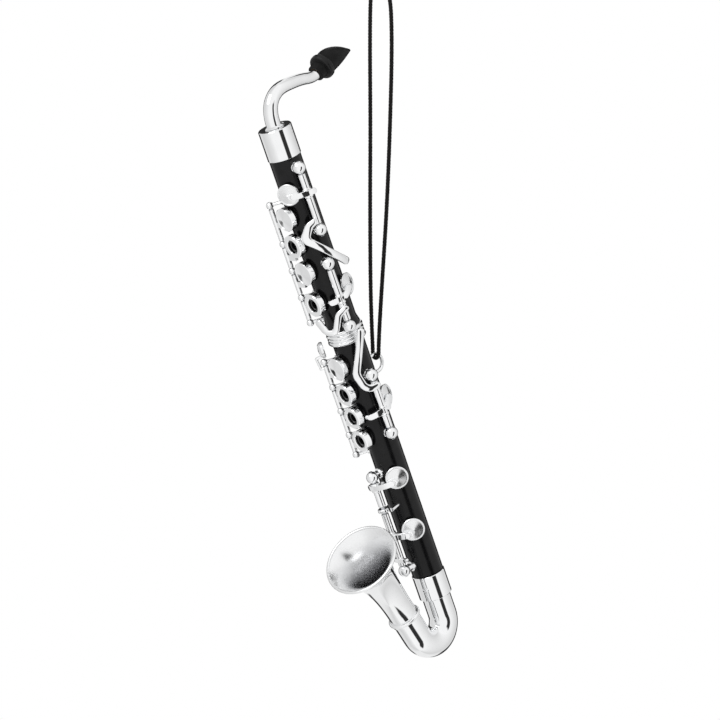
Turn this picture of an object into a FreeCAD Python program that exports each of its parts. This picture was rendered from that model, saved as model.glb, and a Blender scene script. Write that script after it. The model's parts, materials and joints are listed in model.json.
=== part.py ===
"""Miniature bass clarinet that hangs from a loop of braided cord.

The instrument is drawn upright, in its own frame: +Z up the body's axis from the receiver's top
face, +X towards the player (the mouthpiece side), -Y towards the player's left. A place on the
body is given by its azimuth (0 is the left side, 90 the front), its distance from the axis and
its depth below the receiver's top. At the end every piece is turned into the hanging pose: the
row frame has +Z up and its origin at the centre of the cord's knot, which holds everything.
All lengths are in millimetres and all angles in degrees.
"""

import FreeCAD, Part
import math
import os

V = FreeCAD.Vector

# Hanging pose
HANG_DROP = 82.0          # from the knot's centre down to the cord's bearing point in the eye
LEAN = 25.6               # tilt of the body's axis from the vertical, top forwards

# Body, from the top down (depths below the receiver's top face)
BODY_R = 3.25
BORE_R = 1.9
RECEIVER_R = 3.42
RECEIVER_END = 6.2
TENON_R = 2.8
TENON_TOP = 1.3
NECK_SOCKET_R = 1.60
METAL_EDGE = 0.12         # chamfer of the metal sleeves
FLARE_START = 41.2
FLARE_R = 3.6
FLARE_LIP = 0.3           # the flare's straight end
MIDDLE_START = 42.8
MIDDLE_END = 45.9
MIDDLE_R = 3.95
MIDDLE_TENON_R = 2.6
MIDDLE_TENON_END = 49.0
MIDDLE_RIBS = ((0.42, 0.40), (1.22, 0.36), (1.95, 0.32), (2.66, 0.40))   # offset, thickness
BODY_END = 97.9
FERRULE_R = 3.42
FERRULE_END = 103.1
FERRULE_STEP = 101.0

# Bow and bell
BOW_R = 2.95
BOW_BORE_R = 0.50         # the bow is a thick casting, so that the hung instrument balances
BEND_START = 107.3
BEND_R = 4.25
BELL_LEAN = 15.5          # of the bell's foot, forwards of the body's axis
BOW_STRAIGHT = 6.1
BELL_LENGTH = 17.8        # along its curved centre line
BELL_TURN = 18.3          # how far that line turns from the foot to the rim
BELL_TURN_TOWARDS = 213.5  # the way it turns, about the foot's axis: forwards and to the left
BELL_WALL = 0.38
BELL_RIM_R = 7.62
BELL_RIM_ROLL_R = 0.32
BELL_SPIGOT = 2.4
BELL_SPIGOT_R = 2.5
BELL_FOOT = 4.2           # length over which the bell's foot thins to its wall
BEAD_R = 0.42

# Neck and mouthpiece
NECK_R = 1.50
NECK_TIP_R = 1.18
NECK_BORE = 0.86          # bore radius as a share of the outer radius
NIB_R = 0.95              # the neck's plain end, inside the cork, and its bore
NIB_BORE_R = 0.6
NECK_TIP_WALL = 0.6       # length of solid metal at the neck's tip
NECK_TENON_END = 5.4
NECK_FLANGE_R = 2.0
NECK_FLANGE = 0.45
MOUTH_RISE = 14.6         # angle of the mouthpiece above the instrument's back direction
MOUTH_AT = (14.6, 5.1)    # socket mouth: distance back, height above the receiver
MOUTH_SOCKET_R = 1.72
MOUTH_R = 2.35
MOUTH_LENGTH = 10.5
# The beak's sections beyond the band: distance along the axis, radius, drop towards the table
BEAK = ((4.4, 2.35, 0.0), (5.8, 2.22, 0.18), (7.2, 1.86, 0.52), (8.5, 1.36, 0.98),
        (9.6, 0.80, 1.50), (10.5, 0.30, 1.98))
MOUTH_BORE_R = 1.0
MOUTH_BORE_LENGTH = 5.6
CORK_R = 1.20
CORK_LENGTH = 3.0
BAND_R = 2.68
BAND_AT = 2.5
BAND_WIDTH = 1.5

# Keywork
RUN = 0.04                # radial running clearance of a key tube on its rod
END_GAP = 0.06            # gap between a key tube's end and the ball beside it
SIDE_ROD_R = 0.40
SIDE_TUBE_R = 0.75
SIDE_BALL_R = 1.32
SIDE_STEM_R = 0.78
POST_FOOT = 0.3            # how far a post's round foot stands out and up
POST_ROOT = 0.6            # built this far into the body before it is cut to it
STACK_ROD_R = 0.26
STACK_TUBE_R = 0.50
STACK_BALL_R = 0.74
STACK_STEM_R = 0.34
CUP_BASE = 3.85           # distance of every cup's rim plane from the body's axis
CUP_RIM = 0.5             # height of a side key's cup, and of the cone on it
CUP_RISE = 0.42
SEAT_R = 1.55
SEAT_BORE_R = 0.8
CLOSED_SEAT = 3.74        # top of the tone-hole seat under a key that rests closed
OPEN_SEAT = 3.48          # and under one that rests open
PAD_THICK = 0.42
ARM_WIDTH = 1.15
COLLAR_R = 0.92           # thin collars on a key's tube, each side of its arm
COLLAR_HALF = 0.2
COLLAR_OFFSET = 0.75
TOUCH_EDGE = 0.15         # rounding of the touchpieces

# The hanging eye and the cord
EYE_DEPTH = 53.4
EYE_HALF_SPAN = 1.75
EYE_WIRE_R = 0.36
EYE_REACH = 6.75          # wire's centre line, from the body's axis
CORD_R = 0.43
CORD_GAP = 0.02           # between the cord and the eye's wire
KNOT_R = 1.45

# Every side key: rod azimuth, rod distance, upper and lower ball depth, arm depth on the rod,
# cup azimuth, cup depth, cup radius, azimuth that the tail reaches, seat height
SIDE_KEYS = {
    "register": (17.0, 4.8, 8.2, 21.4, 13.5, 66.0, 12.9, 2.25, 2.0, CLOSED_SEAT),
    "throat": (26.0, 4.8, 28.4, 41.9, 36.0, -17.0, 34.3, 2.25, 41.0, CLOSED_SEAT),
    "left_hand": (14.0, 4.8, 53.1, 65.9, 60.9, -21.0, 58.9, 2.30, 29.0, CLOSED_SEAT),
}
LOW_KEYS = {
    "low_f": (95.0, 5.4, 73.9, 80.8, 76.1, 37.0, 75.3, 2.35, 110.0, OPEN_SEAT),
    "low_e": (95.0, 5.4, 81.6, 94.9, 87.1, 41.0, 86.8, 2.35, 108.0, OPEN_SEAT),
}
LOW_BALL_R = 1.22
LOW_BRIDGE = 81.2         # depth of the support between the two low keys
LOW_BRIDGE_HALF = 0.4
LOW_BRIDGE_R = 1.15
LOW_STUB = 92.4           # depth of the low E key's short side stub

# Touchpieces: inner and outer radius of the curved strip, half its width, and its route as
# (azimuth, depth) with the radius of the bend at each inner point
TOUCHES = {
    "register": (4.95, 5.5, 0.76, [(24, 19.2), (40, 19.7), (58, 22.2), (-21, 29.6)], [1.0, 1.4]),
    "throat": (5.42, 5.95, 0.66, [(26, 38.0), (42, 38.7), (58, 42.0), (76, 41.9), (88, 39.5)],
               [1.0, 1.15, 1.15]),
    "left_hand": (5.2, 5.8, 0.76, [(14, 55.3), (38, 55.5), (48, 51.6), (10, 43.7)], [1.9, 2.6]),
}

# Stacks: the rod's place, the cups' azimuth, ball depths and the keys (depth, radius, open ring)
STACK_CUPS = 97.0
STACK_ROD = (135.0, 5.9)
STACK_HEIGHT = 1.5        # of the thick heads, from their rim plane to their outer face
STACK_DOME = 0.3          # how far a covered head's top rises above its rim
UPPER_BALLS = (14.8, 23.1, 28.9, 34.7, 40.2)
UPPER_STACK = ((17.7, 2.45, False), (23.4, 2.45, True), (29.4, 2.45, False), (36.1, 2.45, True))
LOWER_BALLS = (48.9, 54.4, 59.7, 65.0, 69.4)
LOWER_STACK = ((50.2, 2.4, False), (55.8, 2.3, True), (60.9, 2.3, True), (66.0, 2.3, True))
RING_HOLE_R = 1.4
STACK_ARM = (0.9, 1.2, 0.55)   # where it starts beside the head's centre, its width and thickness
SPRING_R = 0.09           # needle springs, and their height above the body
SPRING_STAND = 0.5
SPRING_LENGTH = 5.6
CHIMNEY_R = 1.15
CHIMNEY_TOP = CUP_BASE + 0.95
BRIDGE_ARM_R = 0.26
BRIDGE_CUP = (131.0, 5.1, 46.2, 1.65)   # azimuth, inner distance, depth, radius


# Places and small solids

def outward(azimuth):
    a = math.radians(azimuth)
    return V(-math.sin(a), -math.cos(a), 0)


def around(azimuth):
    a = math.radians(azimuth)
    return V(-math.cos(a), math.sin(a), 0)


def place(azimuth, distance, depth):
    return outward(azimuth) * distance + V(0, 0, -depth)


def facing(azimuth, depth=0.0):
    """A placement whose +Z is outward at this azimuth, +X around the body and +Y down it."""
    x, z = around(azimuth), outward(azimuth)
    return FreeCAD.Placement(FreeCAD.Matrix(
        x.x, 0, z.x, 0,
        x.y, 0, z.y, 0,
        0, -1, 0, -depth,
        0, 0, 0, 1))


def rod_solid(start, end, radius):
    return Part.makeCylinder(radius, (end - start).Length, start, end - start)


def turned(profile):
    """A solid of revolution about Z from a closed outline of (radius, height) points."""
    points = [V(r, 0, z) for r, z in profile]
    face = Part.Face(Part.makePolygon(points + points[:1]))
    return face.revolve(V(0, 0, 0), V(0, 0, 1), 360)


def largest(shape):
    return max(shape.Solids, key=lambda solid: solid.Volume)


def round_section(centre, direction, radius):
    """A circle square to a direction, for lofting along a curved line."""
    circle = Part.makeCircle(radius)
    circle.Placement = FreeCAD.Placement(centre, FreeCAD.Rotation(V(0, 0, 1), direction))
    return Part.Wire(circle)


def ring(inner, outer, top, bottom):
    """A plain ring round the body's axis between two depths."""
    tube = Part.makeCylinder(outer, bottom - top, V(0, 0, -bottom))
    return tube.cut(Part.makeCylinder(inner, bottom - top, V(0, 0, -bottom)))


def bead(radius, thickness, depth):
    """A half-round bead that stands out of a cylinder of this radius."""
    return Part.makeTorus(radius, thickness, V(0, 0, -depth))


def rounded_wire(points, radii):
    """Straight runs through the points, joined by tangent arcs of the given radii."""
    edges = []
    start = points[0]
    for before, corner, after, radius in zip(points, points[1:-1], points[2:], radii):
        back = (before - corner).normalize()
        ahead = (after - corner).normalize()
        turn = math.pi - back.getAngle(ahead)
        reach = radius * math.tan(turn / 2)
        middle = corner + (back + ahead).normalize() * (radius / math.cos(turn / 2) - radius)
        first = corner + back * reach
        last = corner + ahead * reach
        edges.append(Part.LineSegment(start, first).toShape())
        edges.append(Part.Arc(first, middle, last).toShape())
        start = last
    edges.append(Part.LineSegment(start, points[-1]).toShape())
    return Part.Wire(edges)


def slot_outline(start, end, half_width):
    """A straight slot's closed outline in the XY plane."""
    along = (end - start).normalize() * half_width
    side = V(-along.y, along.x, 0)
    return Part.Wire([
        Part.LineSegment(start + side, end + side).toShape(),
        Part.Arc(end + side, end + along, end - side).toShape(),
        Part.LineSegment(end - side, start - side).toShape(),
        Part.Arc(start - side, start - along, start + side).toShape()])


def strip(route, radii, half_width, inner, outer):
    """A rounded strip that follows a route of (azimuth, depth) round the body."""
    centre = (min(a for a, _ in route) + max(a for a, _ in route)) / 2
    middle = (inner + outer) / 2
    points = [V(middle * math.sin(math.radians(a - centre)), s, 0) for a, s in route]
    if radii:
        path = rounded_wire(points, radii)
        outline = path.makeOffset2D(half_width, join=0, fill=False, openResult=False)
    else:
        outline = slot_outline(points[0], points[1], half_width)
    prism = Part.Face(outline).extrude(V(0, 0, outer + 1))
    prism.Placement = facing(centre)
    top, bottom = min(s for _, s in route) - 3, max(s for _, s in route) + 3
    return prism.common(ring(inner, outer, top, bottom)).Solids[0]


def softened(shape, outer, radius):
    """The same strip with the edges of its outer face rounded."""
    edges = [e for e in shape.Edges if all(math.hypot(p.x, p.y) > outer - 0.01 for p in e.discretize(5))]
    return shape.makeFillet(radius, edges)


# Body pieces

def make_receiver():
    return turned([
        (NECK_SOCKET_R + RUN, 0), (RECEIVER_R - METAL_EDGE, 0), (RECEIVER_R, -METAL_EDGE),
        (RECEIVER_R, METAL_EDGE / 2 - RECEIVER_END), (RECEIVER_R - METAL_EDGE / 2, -RECEIVER_END),
        (TENON_R, -RECEIVER_END), (TENON_R, -TENON_TOP), (NECK_SOCKET_R + RUN, -TENON_TOP)])


def seat(azimuth, depth, height, radius):
    """A tone hole's raised seat, standing on the body."""
    return rod_solid(place(azimuth, BODY_R - 0.5, depth), place(azimuth, height, depth), radius)


def drilled(body, holes):
    """The body with its tone holes drilled through to the bore."""
    for azimuth, depth in holes:
        body = body.cut(rod_solid(place(azimuth, 0, depth), place(azimuth, 8, depth), SEAT_BORE_R))
    return body


def tone_holes(top, bottom):
    """Azimuth, depth, seat height and seat radius of each tone hole between two depths."""
    holes = [(k[5], k[6], k[9], SEAT_R) for k in list(SIDE_KEYS.values()) + list(LOW_KEYS.values())]
    for depth, _, is_ring in UPPER_STACK + LOWER_STACK:
        if is_ring:
            holes.append((STACK_CUPS, depth, CHIMNEY_TOP, CHIMNEY_R))
        else:
            holes.append((STACK_CUPS, depth, OPEN_SEAT, SEAT_R))
    return [h for h in holes if top < h[1] < bottom]


def make_joint(profile, top, bottom):
    """A black body joint: a turned tube with raised, drilled tone-hole seats."""
    holes = tone_holes(top, bottom)
    body = turned(profile)
    for azimuth, depth, height, radius in holes:
        body = body.fuse(seat(azimuth, depth, height, radius))
    body = body.cut(Part.makeCylinder(BORE_R, bottom + 10, V(0, 0, -bottom - 5)))
    return drilled(body.removeSplitter(), [(h[0], h[1]) for h in holes])


def make_upper_joint():
    profile = [
        (NECK_SOCKET_R + RUN, -TENON_TOP), (TENON_R, -TENON_TOP), (TENON_R, -RECEIVER_END),
        (BODY_R, -RECEIVER_END), (BODY_R, -FLARE_START), (FLARE_R, -MIDDLE_START + FLARE_LIP),
        (FLARE_R, -MIDDLE_START), (MIDDLE_TENON_R, -MIDDLE_START),
        (MIDDLE_TENON_R, -MIDDLE_TENON_END), (NECK_SOCKET_R + RUN, -MIDDLE_TENON_END)]
    return make_joint(profile, 0, MIDDLE_START)


def make_lower_joint():
    edge = 0.25
    profile = [
        (MIDDLE_TENON_R, -MIDDLE_END), (BODY_R, -MIDDLE_END), (BODY_R, -BODY_END + edge),
        (BODY_R - edge, -BODY_END), (TENON_R, -BODY_END), (TENON_R, -FERRULE_STEP),
        (BORE_R, -FERRULE_STEP), (BORE_R, -MIDDLE_TENON_END), (MIDDLE_TENON_R, -MIDDLE_TENON_END)]
    return make_joint(profile, MIDDLE_END, BODY_END)


def make_middle_ring():
    """The ribbed metal ring where the two joints meet."""
    core = MIDDLE_R - 0.4
    shape = ring(MIDDLE_TENON_R, core, MIDDLE_START, MIDDLE_END)
    envelope = ring(MIDDLE_TENON_R, MIDDLE_R + 1, MIDDLE_START, MIDDLE_END)
    for offset, thickness in MIDDLE_RIBS:
        shape = shape.fuse(bead(core - 0.02, thickness, MIDDLE_START + offset))
    return shape.common(envelope).removeSplitter()


def make_lower_ferrule():
    return turned([
        (TENON_R, -BODY_END), (FERRULE_R - METAL_EDGE, -BODY_END), (FERRULE_R, -BODY_END - METAL_EDGE),
        (FERRULE_R, -FERRULE_END + METAL_EDGE), (FERRULE_R - METAL_EDGE, -FERRULE_END),
        (BOW_R, -FERRULE_END), (BOW_R, -FERRULE_STEP), (TENON_R, -FERRULE_STEP)])


# Bow and bell

def bell_frame():
    """Where the bow meets the bell: +Z runs up the bell's leaning axis."""
    lean = math.radians(BELL_LEAN)
    forward = BEND_R * (1 + math.cos(lean)) + BOW_STRAIGHT * math.sin(lean)
    depth = BEND_START + BEND_R * math.sin(lean) - BOW_STRAIGHT * math.cos(lean)
    return FreeCAD.Placement(V(-forward, 0, -depth), FreeCAD.Rotation(V(0, 1, 0), -BELL_LEAN))


def bent_rod(radius):
    """The bow's solid at one radius: down, round the bend and up towards the bell."""
    down = Part.makeCylinder(radius, BEND_START - FERRULE_STEP, V(0, 0, -BEND_START))
    section = Part.Face(Part.Wire(Part.makeCircle(radius, V(0, 0, -BEND_START), V(0, 0, 1))))
    bend = section.revolve(V(-BEND_R, 0, -BEND_START), V(0, 1, 0), 180 - BELL_LEAN)
    up = Part.makeCylinder(radius, BOW_STRAIGHT, V(0, 0, -BOW_STRAIGHT))
    up.Placement = bell_frame()
    return down.fuse([bend, up]).removeSplitter()


def make_bow():
    socket = Part.makeCylinder(BELL_SPIGOT_R, BELL_SPIGOT, V(0, 0, -BELL_SPIGOT))
    socket.Placement = bell_frame()
    return bent_rod(BOW_R).cut(bent_rod(BOW_BORE_R)).cut(socket)


def flare():
    """The bell's outer radius against the distance along it: a slim tube that opens late and fast."""
    points = [(BOW_R, 0), (BOW_R + 0.08, 4.2), (3.45, 8.6), (4.25, 12.2), (5.5, 15.2),
              (BELL_RIM_R, BELL_LENGTH)]
    curve = Part.BSplineCurve()
    curve.interpolate([V(radius, 0, distance) for radius, distance in points])
    return curve


def bell_station(distance):
    """A place on the bell's curved centre line, and the line's direction there."""
    line_r = BELL_LENGTH / math.radians(BELL_TURN)
    angle = distance / line_r
    towards = math.radians(BELL_TURN_TOWARDS)
    side = V(math.cos(towards), math.sin(towards), 0)
    centre = side * (line_r * (1 - math.cos(angle))) + V(0, 0, line_r * math.sin(angle))
    return centre, side * math.sin(angle) + V(0, 0, math.cos(angle))


def bell_solid(wall, foot_wall):
    """The bell's outer shape drawn in by its wall, and by a thicker wall at its foot."""
    curve = flare()
    first, last = curve.FirstParameter, curve.LastParameter
    count = 18
    sections = []
    for i in range(count + 1):
        point = curve.value(first + (last - first) * i / count)
        extra = (foot_wall - wall) * max(0.0, 1 - point.z / BELL_FOOT)
        centre, direction = bell_station(point.z)
        sections.append(round_section(centre, direction, point.x - wall - extra))
    return Part.makeLoft(sections, True, False)


def make_bell():
    bore = BELL_SPIGOT_R - BELL_WALL
    shape = bell_solid(0, 0)
    shape = shape.fuse(Part.makeCylinder(BELL_SPIGOT_R, BELL_SPIGOT, V(0, 0, -BELL_SPIGOT)))
    centre, direction = bell_station(BELL_LENGTH - 0.08)
    shape = shape.fuse(Part.makeTorus(BELL_RIM_R - 0.1, BELL_RIM_ROLL_R, centre, direction))
    shape = shape.cut(bell_solid(BELL_WALL, BOW_R - bore))
    shape = shape.cut(Part.makeCylinder(bore, BELL_SPIGOT, V(0, 0, -BELL_SPIGOT)))
    rim, up = bell_station(BELL_LENGTH)
    mouth = BELL_RIM_R - BELL_WALL
    shape = shape.cut(Part.makeCylinder(mouth, 1, rim, up)).removeSplitter()
    shape.Placement = bell_frame()
    return shape


def make_bell_ring():
    """The bead that covers the seam between the bow and the bell."""
    shape = Part.makeTorus(BOW_R + 0.1, BEAD_R, V(0, 0, -0.45))
    shape = shape.fuse(Part.makeCylinder(BOW_R + 0.18, 1.3, V(0, 0, -1.3)))
    shape = shape.cut(Part.makeCylinder(BOW_R, 4, V(0, 0, -2)))
    shape.Placement = bell_frame()
    return shape


# Neck and mouthpiece

def neck_route(depth_below, beyond):
    """The neck's centre line as a smooth curve; its last stretch lies inside the mouthpiece."""
    rise = math.radians(MOUTH_RISE)
    ahead = V(math.cos(rise), 0, math.sin(rise))
    end = V(MOUTH_AT[0], 0, MOUTH_AT[1])
    points = [V(0, 0, -depth_below), V(0, 0, 1.4), V(1.0, 0, 4.3), V(3.4, 0, 6.0), V(7.2, 0, 6.15),
              V(11.2, 0, 5.5), V(13.4, 0, 5.0), end - ahead * 0.15, end + ahead * beyond]
    return points, ahead


def neck_solid(scale, depth_below, beyond):
    """Round sections lofted along the neck, from full size at the base to the slim tip."""
    points, _ = neck_route(depth_below, beyond)
    curve = Part.BSplineCurve()
    curve.interpolate(points)
    first, last = curve.FirstParameter, curve.LastParameter
    count = 26
    sections = []
    for i in range(count + 1):
        t = i / count
        parameter = first + (last - first) * t
        radius = (NECK_R + (NECK_TIP_R - NECK_R) * t) * scale
        sections.append(round_section(curve.value(parameter), curve.tangent(parameter)[0], radius))
    return Part.makeLoft(sections, True, False)


def make_neck_tube():
    """The curved neck with its base flange and the tenon that turns in the receiver."""
    tube = neck_solid(1.0, 0.0, 0.0)
    tube = tube.fuse(turned([(0, RUN), (NECK_FLANGE_R, RUN), (NECK_FLANGE_R, 0.2),
                             (NECK_R + 0.15, NECK_FLANGE), (0, NECK_FLANGE)]))
    tube = tube.fuse(Part.makeCylinder(NECK_SOCKET_R, NECK_TENON_END, V(0, 0, -NECK_TENON_END + RUN)))
    end = V(MOUTH_AT[0], 0, MOUTH_AT[1])
    ahead = neck_route(0, 0)[1]
    tube = tube.fuse(rod_solid(end - ahead * 0.2, end + ahead * CORK_LENGTH, NIB_R))
    hollow = neck_solid(NECK_BORE, NECK_TENON_END, 0.0)
    hollow = hollow.cut(rod_solid(end - ahead * NECK_TIP_WALL, end + ahead, NECK_R))
    nib_bore = rod_solid(end - ahead * 2 * NECK_TIP_WALL, end + ahead * (CORK_LENGTH + 1), NIB_BORE_R)
    bottom = Part.makeCylinder(NECK_SOCKET_R - 0.3, NECK_TENON_END, V(0, 0, -NECK_TENON_END - 0.2))
    return largest(tube.cut([hollow, nib_bore, bottom]).removeSplitter())


def mouth_frame():
    return FreeCAD.Placement(V(MOUTH_AT[0], 0, MOUTH_AT[1]),
                             FreeCAD.Rotation(V(0, 1, 0), 90 - MOUTH_RISE))


def make_neck_cork():
    start, end = 0.35, CORK_LENGTH - 0.2
    sleeve = Part.makeCylinder(CORK_R, end - start, V(0, 0, start))
    sleeve = sleeve.cut(Part.makeCylinder(NIB_R, end - start, V(0, 0, start)))
    sleeve.Placement = mouth_frame()
    return sleeve


def beak():
    """The leaf-shaped beak: round sections that shrink and drop towards the reed's side."""
    sections = [round_section(V(drop, 0, along), V(0, 0, 1), radius) for along, radius, drop in BEAK]
    return Part.makeLoft(sections, True, False)


def make_mouthpiece():
    shank_end = BEAK[0][0]
    body = turned([
        (0, 0), (MOUTH_SOCKET_R - 0.2, 0), (MOUTH_SOCKET_R, 0.2), (MOUTH_SOCKET_R + 0.12, 1.6),
        (MOUTH_R, 1.8), (MOUTH_R, shank_end), (0, shank_end)])
    body = body.fuse(beak())
    body = body.cut(Part.makeCylinder(CORK_R + RUN, CORK_LENGTH + 0.1))
    body = body.cut(Part.makeCylinder(MOUTH_BORE_R, MOUTH_BORE_LENGTH)).removeSplitter()
    body.Placement = mouth_frame()
    return body


def make_ligature_band():
    """The rounded band that grips the mouthpiece behind the beak."""
    start = BAND_AT - BAND_WIDTH / 2
    core = Part.makeCylinder(BAND_R, BAND_WIDTH, V(0, 0, start))
    core = core.makeFillet(BAND_WIDTH * 0.36, core.Edges[:1] + core.Edges[2:])
    core = core.cut(Part.makeCylinder(MOUTH_R, BAND_WIDTH, V(0, 0, start)))
    core.Placement = mouth_frame()
    return core


# Keywork

def cup_profile(radius, rim=CUP_RIM, rise=CUP_RISE):
    """A key cup's outline: a skirt, a rim bead, a groove and a shallow cone."""
    return [
        (radius - 0.3, 0), (radius - 0.06, 0), (radius, 0.08), (radius, rim - 0.1),
        (radius - 0.1, rim), (radius - 0.28, rim), (radius - 0.36, rim - 0.09),
        (radius - 0.5, rim - 0.06), (0, rim + rise), (0, PAD_THICK - 0.1),
        (radius - 0.3, PAD_THICK - 0.1)]


def raised(azimuth, depth, height):
    """The placement of a head that faces outward at this height above the body's axis."""
    return facing(azimuth, depth).multiply(FreeCAD.Placement(V(0, 0, height), FreeCAD.Rotation()))


def make_cup(azimuth, depth, radius):
    shape = turned(cup_profile(radius))
    shape.Placement = raised(azimuth, depth, CUP_BASE)
    return shape


def cup_envelope(azimuth, depth, radius):
    """The cup with its pad and pad seat filled in, for cutting whatever joins it."""
    start, end = place(azimuth, CUP_BASE - 0.1, depth), place(azimuth, CUP_BASE + 0.42, depth)
    return make_cup(azimuth, depth, radius).fuse(rod_solid(start, end, radius - 0.3))


def make_pad(azimuth, depth, radius):
    """The soft disc in a cup; it stands a little below the cup's rim."""
    top, bottom = CUP_BASE + PAD_THICK - 0.1, CUP_BASE - 0.05
    return rod_solid(place(azimuth, bottom, depth), place(azimuth, top, depth), radius - 0.3)


def tube(azimuth, distance, top, bottom, radius):
    return rod_solid(place(azimuth, distance, bottom), place(azimuth, distance, top), radius)


def collar(azimuth, distance, depth, radius, half_width):
    shape = tube(azimuth, distance, depth - half_width, depth + half_width, radius)
    return shape.makeFillet(half_width * 0.6, [shape.Edges[0], shape.Edges[2]])


def make_key(spec, touch=None, top_ball=SIDE_BALL_R, bottom_ball=SIDE_BALL_R, stub=None):
    """A side key in one brazed piece: tube, collars and arm, cut to fit its cup and its rod."""
    azimuth, distance, top, bottom, arm, cup_azimuth, cup_depth, cup_radius, tail, _ = spec
    start, end = top + top_ball + END_GAP, bottom - bottom_ball - END_GAP
    shape = tube(azimuth, distance, start, end, SIDE_TUBE_R)
    inner, outer = distance + 0.05, distance + 0.72
    sign = 1 if cup_azimuth > azimuth else -1
    route = [(tail_azimuth(azimuth, tail, sign), arm + 0.1), (azimuth, arm),
             (cup_azimuth - sign * 14, cup_depth + 0.35)]
    shape = shape.fuse(strip(route, [9.0], ARM_WIDTH / 2, inner, outer))
    reach = [(azimuth + sign * 14, arm - 0.15), (cup_azimuth - sign * 6, cup_depth + 0.3)]
    shape = shape.fuse(strip(reach, [], ARM_WIDTH / 2, CUP_BASE + 0.25, inner + 0.3))
    for side in (-1, 1):
        shape = shape.fuse(collar(azimuth, distance, arm + side * COLLAR_OFFSET, COLLAR_R, COLLAR_HALF))
    if touch:
        shape = shape.fuse(touch_lug(azimuth, distance, touch))
    if stub:
        shape = shape.fuse(strip([(azimuth + 12, stub), (azimuth - 17, stub)], [], 0.42, inner, outer))
    shape = shape.cut(cup_envelope(cup_azimuth, cup_depth, cup_radius))
    shape = shape.cut(tube(azimuth, distance, top, bottom, SIDE_ROD_R + RUN))
    return shape.removeSplitter()


def tail_azimuth(azimuth, tail, sign):
    """The side of the rod away from the cup that the arm's tail reaches."""
    return tail if (tail - azimuth) * sign < 0 else azimuth - sign * 12


def touch_lug(azimuth, distance, touch):
    """The short block on the tube that a touchpiece is brazed to."""
    inner, _, half_width, route, _ = touch
    depth = route[0][1]
    block = rod_solid(place(azimuth, distance, depth), place(azimuth, inner, depth), half_width * 0.8)
    return block


def make_touch(spec, touch):
    """A touchpiece, brazed to its key's tube."""
    inner, outer, half_width, route, radii = touch
    azimuth, distance, top, bottom = spec[:4]
    shape = strip(route, radii, half_width, inner, outer)
    shape = softened(shape, outer, TOUCH_EDGE)
    shape = shape.cut(tube(azimuth, distance, top, bottom, SIDE_TUBE_R))
    return largest(shape)


def body_core():
    """The body's outer shape as one plain solid, for cutting whatever stands on it."""
    return turned([
        (0, 0), (BODY_R, 0), (BODY_R, -FLARE_START), (FLARE_R, -MIDDLE_START + FLARE_LIP),
        (FLARE_R, -MIDDLE_START), (BODY_R, -MIDDLE_START), (BODY_R, -BODY_END), (0, -BODY_END)])


def ball_post(azimuth, distance, depth, ball_r, rod_r, stem_r):
    """A ball-headed post, standing on the body, drilled for its rod."""
    centre = place(azimuth, distance, depth)
    shape = Part.makeSphere(ball_r, centre)
    shape = shape.fuse(rod_solid(place(azimuth, BODY_R - POST_ROOT, depth), centre, stem_r))
    shape = shape.fuse(rod_solid(place(azimuth, BODY_R - POST_ROOT, depth),
                                 place(azimuth, BODY_R + POST_FOOT, depth), stem_r + POST_FOOT))
    shape = shape.cut(tube(azimuth, distance, depth - 3, depth + 3, rod_r))
    return shape.cut(body_core()).removeSplitter()


def make_side_posts(spec):
    azimuth, distance, top, bottom = spec[:4]
    return [ball_post(azimuth, distance, depth, SIDE_BALL_R, SIDE_ROD_R, SIDE_STEM_R)
            for depth in (top, bottom)]


def make_low_posts():
    """Two ball posts and the flat saddle between the two low keys, all on one rod."""
    azimuth, distance, top, _ = LOW_KEYS["low_f"][:4]
    bottom = LOW_KEYS["low_e"][3]
    posts = [ball_post(azimuth, distance, depth, LOW_BALL_R, SIDE_ROD_R, SIDE_STEM_R)
             for depth in (top, bottom)]
    saddle = collar(azimuth, distance, LOW_BRIDGE, LOW_BRIDGE_R, LOW_BRIDGE_HALF)
    foot = strip([(azimuth, LOW_BRIDGE), (azimuth - 26, LOW_BRIDGE)], [], LOW_BRIDGE_HALF, BODY_R, distance)
    saddle = saddle.fuse(foot).cut(tube(azimuth, distance, LOW_BRIDGE - 2, LOW_BRIDGE + 2, SIDE_ROD_R))
    return posts + [saddle.removeSplitter()]


def make_stack_posts(balls):
    azimuth, distance = STACK_ROD
    return [ball_post(azimuth, distance, depth, STACK_BALL_R, STACK_ROD_R, STACK_STEM_R) for depth in balls]


def stack_key(top, bottom, depth, radius, is_ring):
    """A stack key: its tube between two balls, the arm and either a cup or an open ring."""
    azimuth, distance = STACK_ROD
    first, last = top + STACK_BALL_R + END_GAP, bottom - STACK_BALL_R - END_GAP
    shape = tube(azimuth, distance, first, last, STACK_TUBE_R)
    arm_depth = (first + last) / 2
    offset = math.radians(azimuth - STACK_CUPS)
    rod_t, rod_n = distance * math.sin(offset), distance * math.cos(offset)
    inner, width, thickness = STACK_ARM
    arm = Part.makeBox(rod_t - inner, width, thickness, V(inner, arm_depth - width / 2, rod_n - 0.35))
    arm.Placement = facing(STACK_CUPS)
    shape = shape.fuse(arm)
    if is_ring:
        top = STACK_HEIGHT
        head = turned([(RING_HOLE_R, 0.12), (radius - 0.1, 0.12), (radius, 0.22), (radius, top - 0.18),
                       (radius - 0.16, top), (RING_HOLE_R + 0.14, top), (RING_HOLE_R, top - 0.14)])
    else:
        head = turned(cup_profile(radius, STACK_HEIGHT - STACK_DOME, STACK_DOME))
    head.Placement = raised(STACK_CUPS, depth, CUP_BASE)
    clear = rod_solid(place(STACK_CUPS, 0, depth), place(STACK_CUPS, 9, depth),
                      RING_HOLE_R if is_ring else radius - 0.9)
    shape = shape.cut(clear).fuse(head)
    return shape.cut(tube(azimuth, distance, top, bottom, STACK_ROD_R + RUN)).removeSplitter()


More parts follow.
